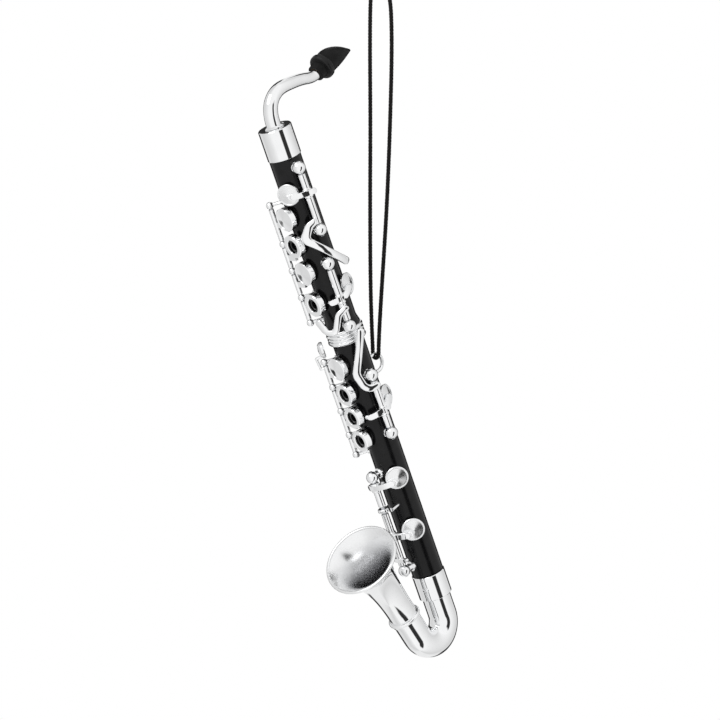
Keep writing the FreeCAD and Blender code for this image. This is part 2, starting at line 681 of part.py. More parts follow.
def stack_keys(name, balls, keys):
    nodes = {}
    for i, (depth, radius, is_ring) in enumerate(keys):
        nodes[f"{name}_stack_key_{i + 1}"] = stack_key(balls[i], balls[i + 1], depth, radius, is_ring)
        if not is_ring:
            nodes[f"{name}_stack_pad_{i + 1}"] = make_pad(STACK_CUPS, depth, radius)
    return nodes


def make_bridge_cup():
    """The small cup beside the middle ring, carried by the lower stack's first key."""
    azimuth, inner, depth, radius = BRIDGE_CUP
    shape = turned([
        (0, 0), (radius - 0.15, 0), (radius, 0.15), (radius, 0.6), (radius - 0.5, 1.1), (0, 1.25)])
    shape.Placement = raised(azimuth, depth, inner)
    return shape


def bridge_arm():
    """The arm that joins the bridge cup to the first lower key's tube."""
    rod_azimuth, distance = STACK_ROD
    azimuth, inner, depth, radius = BRIDGE_CUP
    foot_depth = LOWER_BALLS[0] + STACK_BALL_R + END_GAP + 0.45
    foot = place(rod_azimuth, distance, foot_depth)
    start = place(rod_azimuth, distance + 1.05, foot_depth)
    corner = place(rod_azimuth, distance + 1.3, LOWER_BALLS[0] - 1.15)
    end = place(azimuth, inner + 0.7, depth + radius - 0.4)
    runs = [rod_solid(a, b, BRIDGE_ARM_R) for a, b in ((foot, start), (start, corner), (corner, end))]
    elbows = [Part.makeSphere(BRIDGE_ARM_R, point) for point in (start, corner)]
    return runs[0].fuse(runs[1:] + elbows)


def make_needle_springs():
    """One straight needle spring per side key, held in the lower post's stem."""
    springs = []
    for azimuth, distance, top, bottom, *_ in SIDE_KEYS.values():
        start = place(azimuth, BODY_R + SPRING_STAND, bottom - 0.3)
        end = place(azimuth, BODY_R + SPRING_STAND, bottom - SPRING_LENGTH)
        springs.append(rod_solid(start, end, SPRING_R))
    return springs


# Hanging eye, cord and knot

def eye_points():
    """Centre line of the eye's wire in the plane of the neck: out, down and back in."""
    top, bottom = -EYE_DEPTH + EYE_HALF_SPAN, -EYE_DEPTH - EYE_HALF_SPAN
    root = BODY_R - 0.6
    return [V(root, 0, top), V(EYE_REACH, 0, top), V(EYE_REACH, 0, bottom), V(root, 0, bottom)]


def make_hanging_eye():
    points = eye_points()
    bend = EYE_HALF_SPAN - 0.02
    path = rounded_wire(points, [bend, bend])
    section = Part.Wire(Part.makeCircle(EYE_WIRE_R, points[0], V(1, 0, 0)))
    shape = path.makePipeShell([section], True, False)
    for point in (points[0], points[-1]):
        foot = Part.makeCylinder(EYE_WIRE_R + 0.3, 0.85, point, V(1, 0, 0))
        shape = shape.fuse(foot)
    return shape.cut(Part.makeCylinder(BODY_R, 20, V(0, 0, -EYE_DEPTH - 10))).removeSplitter()


def bearing_point():
    """Where the cord's centre line bears in the eye, in the instrument's frame."""
    lean = math.radians(LEAN)
    centre = V(EYE_REACH - EYE_HALF_SPAN, 0, -EYE_DEPTH)
    inside = EYE_HALF_SPAN - EYE_WIRE_R - CORD_R - CORD_GAP
    return centre + V(math.sin(lean), 0, math.cos(lean)) * inside


def cord_route():
    """The cord's loop in the row frame: down the far side, through the eye and up the near side."""
    low = -HANG_DROP
    turn = EYE_WIRE_R + CORD_R + CORD_GAP
    far = [(0.40, -0.9), (1.45, -8.0), (1.68, -18.0), (1.50, -35.0), (1.62, -52.0), (1.50, -67.4),
           (1.15, -75.4), (0.86, -79.6), (turn, low)]
    near = [(-turn, low), (-0.85, -79.6), (-1.10, -75.4), (-1.78, -67.4), (-3.2, -52.0),
            (-4.15, -35.0), (-4.72, -18.0), (-4.0, -8.0), (-0.40, -0.9)]
    return [V(0, y, z) for y, z in far + near]


def arc_radii(points):
    """Tangent arcs as large as their runs allow."""
    radii = []
    for before, corner, after in zip(points, points[1:-1], points[2:]):
        turn = math.pi - (before - corner).getAngle(after - corner)
        shorter = min((corner - before).Length, (after - corner).Length)
        radii.append(0.45 * shorter / math.tan(turn / 2))
    return radii


def make_cord():
    points = cord_route()
    radii = arc_radii(points)
    path = rounded_wire(points, radii)
    start = (points[1] - points[0]).normalize()
    section = Part.Wire(Part.makeCircle(CORD_R, points[0], start))
    shape = path.makePipeShell([section], True, False)
    print("cord length", round(path.Length, 2))
    return shape


def make_knot(cord):
    """The overhand knot above the loop, with two short tails, cut where the cord enters it."""
    shape = Part.makeSphere(KNOT_R)
    wrap = Part.makeTorus(KNOT_R * 0.82, CORD_R * 1.05, V(0, 0, 0), V(0.35, 0.2, 1))
    tails = [rod_solid(V(0, side * 0.45, KNOT_R * 0.6), V(0.3, side * 1.5, KNOT_R * 0.6 + 3.4), CORD_R)
             for side in (-1, 1)]
    return shape.fuse([wrap] + tails).cut(cord).removeSplitter()


# Assembly

def instrument_nodes():
    nodes = {
        "receiver": make_receiver(),
        "upper_joint": make_upper_joint(),
        "middle_ring": make_middle_ring(),
        "lower_joint": make_lower_joint(),
        "lower_ferrule": make_lower_ferrule(),
        "bow": make_bow(),
        "bell_ring": make_bell_ring(),
        "bell": make_bell(),
        "neck_tube": make_neck_tube(),
        "neck_cork": make_neck_cork(),
        "mouthpiece": make_mouthpiece(),
        "ligature_band": make_ligature_band(),
        "hanging_eye": make_hanging_eye(),
        "needle_springs": Part.makeCompound(make_needle_springs()),
        "low_key_posts": Part.makeCompound(make_low_posts()),
        "upper_stack_posts": Part.makeCompound(make_stack_posts(UPPER_BALLS)),
        "lower_stack_posts": Part.makeCompound(make_stack_posts(LOWER_BALLS)),
    }
    for name, spec in SIDE_KEYS.items():
        nodes[f"{name}_key"] = make_key(spec, TOUCHES[name])
        nodes[f"{name}_key_touch"] = make_touch(spec, TOUCHES[name])
        posts = [largest(post.cut(nodes["middle_ring"]).cut(nodes["needle_springs"]))
                 for post in make_side_posts(spec)]
        nodes[f"{name}_key_posts"] = Part.makeCompound(posts)
    nodes["low_f_key"] = make_key(LOW_KEYS["low_f"], None, LOW_BALL_R, LOW_BRIDGE_HALF)
    nodes["low_e_key"] = make_key(LOW_KEYS["low_e"], None, LOW_BRIDGE_HALF, LOW_BALL_R, LOW_STUB)
    for name, spec in list(SIDE_KEYS.items()) + list(LOW_KEYS.items()):
        nodes[f"{name}_key_cup"] = make_cup(spec[5], spec[6], spec[7])
        nodes[f"{name}_key_pad"] = make_pad(spec[5], spec[6], spec[7])
    nodes.update(stack_keys("upper", UPPER_BALLS, UPPER_STACK))
    nodes.update(stack_keys("lower", LOWER_BALLS, LOWER_STACK))
    nodes["bridge_cup"] = make_bridge_cup()
    first = nodes["lower_stack_key_1"].fuse(bridge_arm()).cut(nodes["bridge_cup"])
    nodes["lower_stack_key_1"] = first.cut(
        tube(*STACK_ROD, LOWER_BALLS[0] + 0.1, LOWER_BALLS[1], STACK_ROD_R + RUN)).removeSplitter()
    nodes.update(make_rods())
    return nodes


def make_rods():
    """The steel rods that the keys turn on, each held in its end balls."""
    side = [tube(s[0], s[1], s[2] - SIDE_BALL_R, s[3] + SIDE_BALL_R, SIDE_ROD_R)
            for s in SIDE_KEYS.values()]
    azimuth, distance, low_top, *_ = LOW_KEYS["low_f"]
    low_end = LOW_KEYS["low_e"][3] + LOW_BALL_R
    hold = STACK_BALL_R - 0.1
    return {
        "side_key_rods": Part.makeCompound(side),
        "low_key_rod": tube(azimuth, distance, low_top - LOW_BALL_R, low_end, SIDE_ROD_R),
        "upper_stack_rod": tube(*STACK_ROD, UPPER_BALLS[0] - hold, UPPER_BALLS[-1] + hold, STACK_ROD_R),
        "lower_stack_rod": tube(*STACK_ROD, LOWER_BALLS[0] - hold, LOWER_BALLS[-1] + hold, STACK_ROD_R),
    }


def hanging_pose():
    """Turns the upright instrument into the pose that it hangs in."""
    turn = FreeCAD.Placement(V(0, 0, 0), FreeCAD.Rotation(V(0, 1, 0), -LEAN))
    bearing = turn.multVec(bearing_point())
    return FreeCAD.Placement(V(0, 0, -HANG_DROP) - bearing, turn.Rotation)


def main():
    os.makedirs("parts", exist_ok=True)
    pose = hanging_pose()
    nodes = {name: posed(shape, pose) for name, shape in instrument_nodes().items()}
    cord = make_cord()
    nodes["hang_cord"] = cord
    nodes["cord_knot"] = make_knot(cord)
    for name, shape in nodes.items():
        shape.exportStep(f"parts/{name}.step")
        solids = len(shape.Solids)
        print(f"{name:24s} solids {solids} valid {shape.isValid()} volume {shape.Volume:.3f}")


def posed(shape, pose):
    moved = shape.copy()
    moved.Placement = pose.multiply(moved.Placement)
    return moved


main()
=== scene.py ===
"""Looks for the hanging miniature bass clarinet: plated metal, black body and mouthpiece, braided cord."""

import json
import math

import bmesh
import bpy
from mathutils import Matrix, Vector
from mathutils.kdtree import KDTree


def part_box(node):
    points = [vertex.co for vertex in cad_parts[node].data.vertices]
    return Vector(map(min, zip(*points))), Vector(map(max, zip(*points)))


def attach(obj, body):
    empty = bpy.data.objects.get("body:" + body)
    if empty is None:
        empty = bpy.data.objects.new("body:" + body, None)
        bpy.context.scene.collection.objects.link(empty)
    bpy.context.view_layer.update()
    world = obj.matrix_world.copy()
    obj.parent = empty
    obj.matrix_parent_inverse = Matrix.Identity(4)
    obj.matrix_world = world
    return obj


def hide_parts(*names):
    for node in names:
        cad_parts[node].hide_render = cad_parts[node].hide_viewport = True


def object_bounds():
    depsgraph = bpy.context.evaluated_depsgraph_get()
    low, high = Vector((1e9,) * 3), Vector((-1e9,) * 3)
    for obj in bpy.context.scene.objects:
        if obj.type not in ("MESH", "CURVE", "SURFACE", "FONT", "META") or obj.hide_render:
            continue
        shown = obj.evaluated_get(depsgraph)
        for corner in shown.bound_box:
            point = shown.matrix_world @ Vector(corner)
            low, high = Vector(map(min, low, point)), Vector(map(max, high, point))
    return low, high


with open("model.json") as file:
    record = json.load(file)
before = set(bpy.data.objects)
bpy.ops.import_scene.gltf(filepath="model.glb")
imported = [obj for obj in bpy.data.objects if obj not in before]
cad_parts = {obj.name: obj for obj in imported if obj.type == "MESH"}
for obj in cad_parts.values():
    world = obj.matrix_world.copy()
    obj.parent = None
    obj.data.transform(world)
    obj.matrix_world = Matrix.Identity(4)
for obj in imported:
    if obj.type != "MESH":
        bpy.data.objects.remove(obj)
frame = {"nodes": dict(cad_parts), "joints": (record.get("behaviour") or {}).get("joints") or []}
cad_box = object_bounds()

MM = 0.001

# The camera looks level at the instrument from its left and a little from the front.
CAMERA_AZIMUTH = math.radians(-44.0)
CAMERA_DISTANCE = 0.800
CAMERA_FIELD = 0.144          # width of the view at the object, in metres
HANG_DROP = 0.082             # from the knot to the cord's bearing in the eye
VIEW_SHIFT = (-0.00314, -0.0004)   # from the bearing to the view's centre: right, up

TO_CAMERA = Vector((math.sin(CAMERA_AZIMUTH), -math.cos(CAMERA_AZIMUTH), 0))
TO_RIGHT = Vector((math.cos(CAMERA_AZIMUTH), math.sin(CAMERA_AZIMUTH), 0))
UP = Vector((0, 0, 1))


# Materials: noise scales are features per metre, bump heights are metres

SILVER = (0.93, 0.935, 0.94)
KEY_SILVER = (0.94, 0.945, 0.95)
CUP_SILVER = (0.90, 0.905, 0.91)
BODY_LEAN = math.radians(25.6)       # the hanging body's lean, which its drawing marks follow
DRAWN_OUT = (9.0, 9.0, 1.0)          # stretches a grain along the body
# Painted shade inside the bell: its colour runs from the rim's grey down to a darker grey in the throat,
# where less light reaches
BELL_THROAT_PAINTED_SHADE = (0.52, 0.52, 0.53)
BELL_RIM = (0.90, 0.905, 0.91)
BELL_SHADE = (0.45, 0.92)            # where the bell's painted shade runs, as parts of its length


class Nodes:
    """A material's node tree with short calls for making and joining nodes."""

    def __init__(self, name):
        self.material = bpy.data.materials.new(name)
        self.material.use_nodes = True
        self.tree = self.material.node_tree
        self.shader = self.tree.nodes["Principled BSDF"]
        coordinates = self.tree.nodes.new("ShaderNodeTexCoord")
        self.place = coordinates.outputs["Object"]

    def link(self, output, target):
        self.tree.links.new(output, target)

    def noise(self, scale, detail=3.0, roughness=0.5, drawn=False):
        """Cloudy grain, or with drawn the same grain pulled out along the hanging body."""
        node = self.tree.nodes.new("ShaderNodeTexNoise")
        node.inputs["Scale"].default_value = scale
        node.inputs["Detail"].default_value = detail
        node.inputs["Roughness"].default_value = roughness
        source = self.place
        if drawn:
            mapping = self.tree.nodes.new("ShaderNodeMapping")
            mapping.inputs["Rotation"].default_value = (0, BODY_LEAN, 0)
            mapping.inputs["Scale"].default_value = DRAWN_OUT
            self.link(self.place, mapping.inputs["Vector"])
            source = mapping.outputs["Vector"]
        self.link(source, node.inputs["Vector"])
        return node.outputs["Fac"]

    def ramp(self, value, low, high, start=0.3, end=0.7):
        """Colours from low to high as the value goes from start to end."""
        node = self.tree.nodes.new("ShaderNodeValToRGB")
        for element, place, colour in zip(node.color_ramp.elements, (start, end), (low, high)):
            element.position = place
            element.color = (*colour, 1) if isinstance(colour, tuple) else (colour, colour, colour, 1)
        self.link(value, node.inputs["Fac"])
        return node.outputs["Color"]

    def along(self, start, reach):
        """From 0 at a place to 1 at the end of a reach from it."""
        offset = self.tree.nodes.new("ShaderNodeVectorMath")
        offset.operation = "SUBTRACT"
        offset.inputs[1].default_value = start
        self.link(self.place, offset.inputs[0])
        part = self.tree.nodes.new("ShaderNodeVectorMath")
        part.operation = "DOT_PRODUCT"
        part.inputs[1].default_value = reach / reach.length_squared
        self.link(offset.outputs["Vector"], part.inputs[0])
        return part.outputs["Value"]

    def bump(self, height, distance):
        node = self.tree.nodes.new("ShaderNodeBump")
        node.inputs["Distance"].default_value = distance
        self.link(height, node.inputs["Height"])
        self.link(node.outputs["Normal"], self.shader.inputs["Normal"])


def scaled(colour, factor, lift=0.0):
    return tuple(c * factor + lift for c in colour)


def plated(name, tint, gloss, haze, ripple=0.000005):
    """Bright nickel plate: near a mirror, with faint haze and the soft waviness of a casting."""
    n = Nodes(name)
    n.shader.inputs["Metallic"].default_value = 1.0
    n.link(n.ramp(n.noise(260, 3), scaled(tint, 0.95), tint), n.shader.inputs["Base Color"])
    n.link(n.ramp(n.noise(2200, 4, 0.6), gloss, haze, 0.3, 0.8), n.shader.inputs["Roughness"])
    n.bump(n.noise(380, 1), ripple)
    return n.material


def satin_plated_with_painted_shade(name, throat, rim, foot, ahead):
    """The inside of the bell: plate over fine polishing marks, with painted shade that darkens its colour
    towards the throat.
    """
    n = Nodes(name)
    n.shader.inputs["Metallic"].default_value = 1.0
    # Painted shade: the base colour darkens from the rim towards the throat along the bell
    n.link(n.ramp(n.along(foot, ahead), throat, rim, *BELL_SHADE), n.shader.inputs["Base Color"])
    n.link(n.ramp(n.noise(5200, 3), 0.20, 0.25), n.shader.inputs["Roughness"])
    n.bump(n.noise(6400, 3), 0.0000006)
    return n.material


def black_gloss(name, colour, ior, gloss, haze, grain):
    """Lacquered black: a satin skin with fine lengthwise drawing marks."""
    n = Nodes(name)
    n.shader.inputs["IOR"].default_value = ior
    n.link(n.ramp(n.noise(700, 5, 0.6), colour, scaled(colour, 2.0, 0.002)), n.shader.inputs["Base Color"])
    n.link(n.ramp(n.noise(300, 4, 0.6, drawn=True), gloss, haze), n.shader.inputs["Roughness"])
    n.bump(n.noise(2600, 3), grain)
    return n.material


def drawn_steel(name, colour):
    """Steel rod or spring wire, with the stains and haze of handling."""
    n = Nodes(name)
    n.shader.inputs["Metallic"].default_value = 1.0
    n.link(n.ramp(n.noise(3000, 2), scaled(colour, 0.8), colour), n.shader.inputs["Base Color"])
    n.link(n.ramp(n.noise(2400, 3), 0.16, 0.3), n.shader.inputs["Roughness"])
    return n.material


def soft_skin(name, dark, light):
    """Pad leather: pores and a little colour from use."""
    n = Nodes(name)
    n.link(n.ramp(n.noise(4000, 5, 0.7), dark, light), n.shader.inputs["Base Color"])
    n.shader.inputs["Roughness"].default_value = 0.8
    n.bump(n.noise(9000, 3), 0.00002)
    return n.material


def cork_grain(name, dark, light):
    """Sheet cork: dark flecks in a light ground."""
    n = Nodes(name)
    n.link(n.ramp(n.noise(5000, 6, 0.8), dark, light), n.shader.inputs["Base Color"])
    n.shader.inputs["Roughness"].default_value = 0.85
    n.bump(n.noise(6000, 5), 0.00004)
    return n.material


def cord_fibre(name, dark, light):
    """Polished cotton: fine fibres, a weak sheen and lighter worn crowns."""
    n = Nodes(name)
    n.link(n.ramp(n.noise(9000, 5, 0.7), dark, light), n.shader.inputs["Base Color"])
    n.shader.inputs["Roughness"].default_value = 0.55
    n.shader.inputs["IOR"].default_value = 1.26
    n.shader.inputs["Sheen Weight"].default_value = 0.02
    n.shader.inputs["Sheen Roughness"].default_value = 0.4
    n.bump(n.noise(16000, 3), 0.00002)
    return n.material


def make_materials():
    return {
        "tube": plated("plated_tube", SILVER, gloss=0.035, haze=0.08),
        "bell": plated("plated_bell", SILVER, gloss=0.05, haze=0.09, ripple=0.000003),
        "key": plated("plated_keywork", KEY_SILVER, gloss=0.04, haze=0.09),
        "cup": plated("plated_cups", CUP_SILVER, gloss=0.16, haze=0.30, ripple=0.000002),
        "post": plated("plated_posts", SILVER, gloss=0.03, haze=0.07),
        "rod": drawn_steel("drawn_rod", (0.62, 0.63, 0.65)),
        "spring": drawn_steel("blued_spring", (0.10, 0.13, 0.24)),
        "body": black_gloss("black_body", (0.0025, 0.0025, 0.0028), ior=1.32,
                            gloss=0.14, haze=0.26, grain=0.000004),
        "mouthpiece": black_gloss("black_mouthpiece", (0.003, 0.003, 0.003), ior=1.24,
                                  gloss=0.40, haze=0.52, grain=0.00001),
        "band": black_gloss("black_band", (0.005, 0.005, 0.005), ior=1.32,
                            gloss=0.30, haze=0.42, grain=0.000006),
        "pad": soft_skin("pad_leather", (0.42, 0.36, 0.29), (0.66, 0.60, 0.52)),
        "cork": cork_grain("cork", (0.20, 0.11, 0.05), (0.55, 0.38, 0.22)),
        "cord": cord_fibre("braided_cord", (0.0015, 0.0013, 0.0013), (0.012, 0.010, 0.009)),
    }


NODE_FINISHES = {
    "bell": "bell", "upper_joint": "body", "lower_joint": "body", "mouthpiece": "mouthpiece",
    "ligature_band": "band", "neck_cork": "cork", "needle_springs": "spring",
    "hang_cord": "cord", "cord_knot": "cord", "hanging_eye": "post"}


def finish_for(node):
    """The material that a CAD node wears: its own, or the one for its kind of piece."""
    if node in NODE_FINISHES:
        return NODE_FINISHES[node]
    if "pad" in node:
        return "pad"
    if node.endswith(("_rod", "_rods")):
        return "rod"
    if node.endswith("_posts"):
        return "post"
    if "cup" in node:
        return "cup"
    if "key" in node:
        return "key"
    return "tube"


def dress_cad(materials):
    """Gives every CAD node its finish."""
    for name, node in frame["nodes"].items():
        node.data.materials.clear()
        node.data.materials.append(materials[finish_for(name)])


# Meshes

TOUCHED_KEYS = ("register", "throat", "left_hand")
PADDED_KEYS = TOUCHED_KEYS + ("low_f", "low_e")
TOUCH_VOXEL = 0.055 * MM
TOUCH_PASSES = 20
TOUCH_HALF = 1.1 * MM         # half a touchpiece's width, over which its crown rises
TOUCH_CROWN = 0.38 * MM
CROWN_PASSES = 8
SIDE_WALL = 0.4               # a face that looks outwards less than this is the bar's side
POLISH_FACTOR = 0.5
ARM_VOXEL = 0.05 * MM
ARM_PASSES = 5
CUP_RISE = 0.42 * MM          # from a key cup's rim to the middle of its shallow cone
SPINE_REACH = 1.25            # cup radii, to find the arm that reaches the cup
SPINE_HALF = 0.52 * MM        # half its width at the rim
SPINE_CROWN = 0.30 * MM
SPINE_TIP = 0.06 * MM
SPINE_SINK = 0.04 * MM        # how far its middle lies under the cup's skin
SPINE_TAPER = 1.3
SPINE_SECTIONS = 14
SPINE_SIDES = 12
INSIDE_FACE = 0.15            # a face that looks at the bell's axis more than this is inside


def new_piece(name, mesh, material, body):
    """A smooth-shaded piece that rides on a CAD body."""
    piece = bpy.data.objects.new(name, mesh)
    bpy.context.scene.collection.objects.link(piece)
    piece.data.materials.append(material)
    for polygon in mesh.polygons:
        polygon.use_smooth = True
    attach(piece, body)
    return piece


def mesh_from(bm, name):
    """The finished mesh of a bmesh, which is freed."""
    mesh = bpy.data.meshes.new(name)
    bm.to_mesh(mesh)
    bm.free()
    return mesh


def ring_around(bm, centre, across, over, sides):
    """One ring of vertices, whose half widths are the lengths of its two directions."""
    turns = [2 * math.pi * k / sides for k in range(sides)]
    return [bm.verts.new(centre + across * math.cos(a) + over * math.sin(a)) for a in turns]


def loft(bm, rings):
    """Skins a row of rings and closes both ends."""
    for one, other in zip(rings, rings[1:]):
        for k in range(len(one)):
            j = (k + 1) % len(one)
            bm.faces.new((one[k], one[j], other[j], other[k]))
    bm.faces.new(list(reversed(rings[0])))
    bm.faces.new(rings[-1])


def tube_mesh(bm, centres, radius, sides, frames):
    """Adds a tube with one ring of vertices for each centre."""
    loft(bm, [ring_around(bm, centre, across * radius, over * radius, sides)
              for centre, (across, over) in zip(centres, frames)])


def carried_frames(points):
    """Two directions square to the path at each point, carried along it without twist."""
    ahead = [(b - a).normalized() for a, b in zip(points, points[1:])]
    ahead.append(ahead[-1])
    across = ahead[0].orthogonal().normalized()
    frames = []
    for direction in ahead:
        across = (across - direction * across.dot(direction)).normalized()
        frames.append((across, direction.cross(across)))
    return frames


def without_modifiers(piece):
    """The piece with the result of its modifiers as its own mesh."""
    bpy.context.view_layer.update()
    seen = piece.evaluated_get(bpy.context.evaluated_depsgraph_get())
    mesh = bpy.data.meshes.new_from_object(seen)
    piece.modifiers.clear()
    piece.data = mesh
    for polygon in mesh.polygons:
        polygon.use_smooth = True


def polish(piece, passes):
    """Wears the piece's edges round."""
    smooth = piece.modifiers.new("polish", "SMOOTH")
    smooth.factor = POLISH_FACTOR
    smooth.iterations = passes
    without_modifiers(piece)


def cast_copy(node, material, body, voxel, passes):
    """A CAD piece again with the soft edges of a polished casting, in place of the sharp one."""
    mesh = frame["nodes"][node].data.copy()
    mesh.materials.clear()
    piece = new_piece(f"cast_{node}", mesh, material, body)
    remesh = piece.modifiers.new("skin", "REMESH")
    remesh.mode = "VOXEL"
    remesh.voxel_size = voxel
    polish(piece, passes)
    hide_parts(node)
    return piece


def raise_crown(mesh):
    """Rounds the outer face of a flat bar: highest along its middle, level at its sides."""
    outward = [(v.co - body_centre(v.co)).normalized() for v in mesh.vertices]
    facing = [v.normal.dot(out) for v, out in zip(mesh.vertices, outward)]
    walls = [v.co.copy() for v, face in zip(mesh.vertices, facing) if abs(face) < SIDE_WALL]
    tree = KDTree(len(walls))
    for i, point in enumerate(walls):
        tree.insert(point, i)
    tree.balance()
    for v, out, face in zip(mesh.vertices, outward, facing):
        if face >= SIDE_WALL:
            far = 1 - min(tree.find(v.co)[2] / TOUCH_HALF, 1)
            v.co += out * (TOUCH_CROWN * math.sqrt(1 - far * far))


def make_castings(material):
    """Touchpieces are worn almost round; the keys' tubes and arms keep more of their edges."""
    for name in TOUCHED_KEYS:
        touch = cast_copy(f"{name}_key_touch", material, f"{name}_lever", TOUCH_VOXEL, TOUCH_PASSES)
        raise_crown(touch.data)
        polish(touch, CROWN_PASSES)
    for name in PADDED_KEYS:
        cast_copy(f"{name}_key", material, f"{name}_lever", ARM_VOXEL, ARM_PASSES)


def centre_of(points):
    return sum(points, Vector()) / len(points)


def corners(node):
    return [Vector(c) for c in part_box(node)]


def body_centre(point):
    """The place on the body's axis beside a point."""
    neck = {joint["name"]: joint for joint in frame["joints"]}["neck_swivel"]
    anchor = Vector(neck["pos_m"])
    axis = Vector(neck["axis"]).normalized()
    return anchor + axis * (point - anchor).dot(axis)


def make_spine(name, material):
    """The arm's end, tapered to a point at the cup's centre, over the cup's shallow cone."""
    cup_points = [v.co for v in frame["nodes"][f"{name}_key_cup"].data.vertices]
    key_points = [v.co for v in frame["nodes"][f"{name}_key"].data.vertices]
    middle = centre_of(corners(f"{name}_key_cup"))
    radius = max((p - middle).length for p in cup_points)
    near = centre_of([p for p in key_points if (p - middle).length < radius * SPINE_REACH])
    out = (middle - body_centre(middle)).normalized()
    toward = near - middle
    toward = (toward - out * toward.dot(out)).normalized()
    across = out.cross(toward)
    top = max((p - middle).dot(out) for p in cup_points)
    bm = bmesh.new()
    rings = []
    for i in range(SPINE_SECTIONS + 1):
        wide = 1 - i / SPINE_SECTIONS
        half = SPINE_TIP + (SPINE_HALF - SPINE_TIP) * wide ** SPINE_TAPER
        crown = SPINE_TIP + (SPINE_CROWN - SPINE_TIP) * wide
        centre = middle + toward * (radius * wide) + out * (top - CUP_RISE * wide - SPINE_SINK)
        rings.append(ring_around(bm, centre, across * half, out * crown, SPINE_SIDES))
    loft(bm, rings)
    bmesh.ops.recalc_face_normals(bm, faces=bm.faces)
    piece = new_piece(f"{name}_spine", mesh_from(bm, f"{name}_spine"), material, f"{name}_lever")


def make_bell(materials):
    """The bell with a polished outside and rim and a satin inside that carries painted shade towards the
    throat.
    """
    mesh = frame["nodes"]["bell"].data.copy()
    mesh.materials.clear()
    piece = new_piece("two_finish_bell", mesh, materials["bell"], "instrument")
    foot = centre_of(corners("bell_ring"))
    ahead = (centre_of([v.co for v in mesh.vertices]) - foot).normalized()
    mouth = ahead * max((v.co - foot).dot(ahead) for v in mesh.vertices)
    # The inside's material paints shade into its colour, darker deep in the throat
    mesh.materials.append(satin_plated_with_painted_shade("satin_bell_inside_painted_shade", BELL_THROAT_PAINTED_SHADE, BELL_RIM, foot, mouth))
    for polygon in mesh.polygons:
        line = foot + ahead * (polygon.center - foot).dot(ahead)
        inward = polygon.normal.dot((line - polygon.center).normalized())
        polygon.material_index = 1 if inward > INSIDE_FACE else 0
    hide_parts("bell")


# Cord: the route's points in millimetres (y, z), in the plane x = 0

CORD_ROUTE = [
    (0.40, -0.9), (1.45, -8.0), (1.68, -18.0), (1.50, -35.0), (1.62, -52.0), (1.50, -67.4),
    (1.15, -75.4), (0.86, -79.6), (0.81, -82.0),
    (-0.81, -82.0), (-0.85, -79.6), (-1.10, -75.4), (-1.78, -67.4), (-3.2, -52.0),
    (-4.15, -35.0), (-4.72, -18.0), (-4.0, -8.0), (-0.40, -0.9)]
STRANDS = 8
STRAND_R = 0.15 * MM
BRAID_R = 0.265 * MM
BRAID_WEAVE = 0.03 * MM
BRAID_PITCH = 2.6 * MM
BRAID_STEP = 0.13 * MM
STRAND_SIDES = 6
CORE_R = 0.27 * MM
CORE_SIDES = 8
LINE_STEPS = 24               # points that are read from a spline between two of its controls
KNOT_POINTS = 120
KNOT_SPREAD = 0.34 * MM
KNOT_RISE = 0.62 * MM
KNOT_TAIL = [(0, 0.30, 0.5), (0.05, 0.55, 1.6), (0.2, 1.0, 2.9), (0.3, 1.35, 3.9)]   # millimetres


def smooth_line(points):
    """Points read from the smooth spline that these points control."""
    curve = bpy.data.curves.new("line", "CURVE")
    curve.dimensions = "3D"
    curve.resolution_u = LINE_STEPS
    spline = curve.splines.new("NURBS")
    spline.points.add(len(points) - 1)
    for control, point in zip(spline.points, points):
        control.co = (*point, 1)
    spline.order_u = 3
    spline.use_endpoint_u = True
    holder = bpy.data.objects.new("line", curve)
    bpy.context.scene.collection.objects.link(holder)
    bpy.context.view_layer.update()
    mesh = bpy.data.meshes.new_from_object(holder.evaluated_get(bpy.context.evaluated_depsgraph_get()))
    line = [v.co.copy() for v in mesh.vertices]
    bpy.data.objects.remove(holder)
    return line


def evenly_spaced(points, step):
    """The same line with points a fixed distance apart."""
    spaced, left = [points[0]], step
    for a, b in zip(points, points[1:]):
        run = (b - a).length
        done = 0.0
        while run - done >= left:
            done += left
            spaced.append(a.lerp(b, done / run))
            left = step
        left -= run - done
    spaced.append(points[-1])
    return spaced


def make_cord(material, knot):
    """The braided loop, from the knot through the eye and back."""
    line = smooth_line([Vector((0, y * MM, z * MM)) for y, z in CORD_ROUTE])
    points = evenly_spaced(line, BRAID_STEP)
    bm = bmesh.new()
    braid(bm, points)
    cord = new_piece("braided_cord", mesh_from(bm, "braided_cord"), material, "cord_loop")
    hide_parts("hang_cord")


def braid(bm, points):
    """Strands woven round a line, half of them each way, over a plain core."""
    frames = carried_frames(points)
    tube_mesh(bm, points, CORE_R, CORE_SIDES, frames)
    for strand in range(STRANDS):
        way = 1 if strand % 2 else -1
        start = 2 * math.pi * (strand // 2) / (STRANDS // 2)
        centres = []
        for i, (point, (across, over)) in enumerate(zip(points, frames)):
            turns = i * BRAID_STEP / BRAID_PITCH
            angle = start + way * 2 * math.pi * turns
            weave = math.sin(STRANDS * math.pi * turns + (math.pi if way > 0 else 0))
            radius = BRAID_R + BRAID_WEAVE * weave
            centres.append(point + (across * math.cos(angle) + over * math.sin(angle)) * radius)
        tube_mesh(bm, centres, STRAND_R, STRAND_SIDES, carried_frames(centres))


def knot_line():
    """One overhand knot drawn up tight."""
    points = []
    for i in range(KNOT_POINTS + 1):
        t = 2 * math.pi * i / KNOT_POINTS
        x = math.sin(t) + 2 * math.sin(2 * t)
        y = math.cos(t) - 2 * math.cos(2 * t)
        points.append(Vector((x * KNOT_SPREAD, y * KNOT_SPREAD, -math.sin(3 * t) * KNOT_RISE)))
    return points


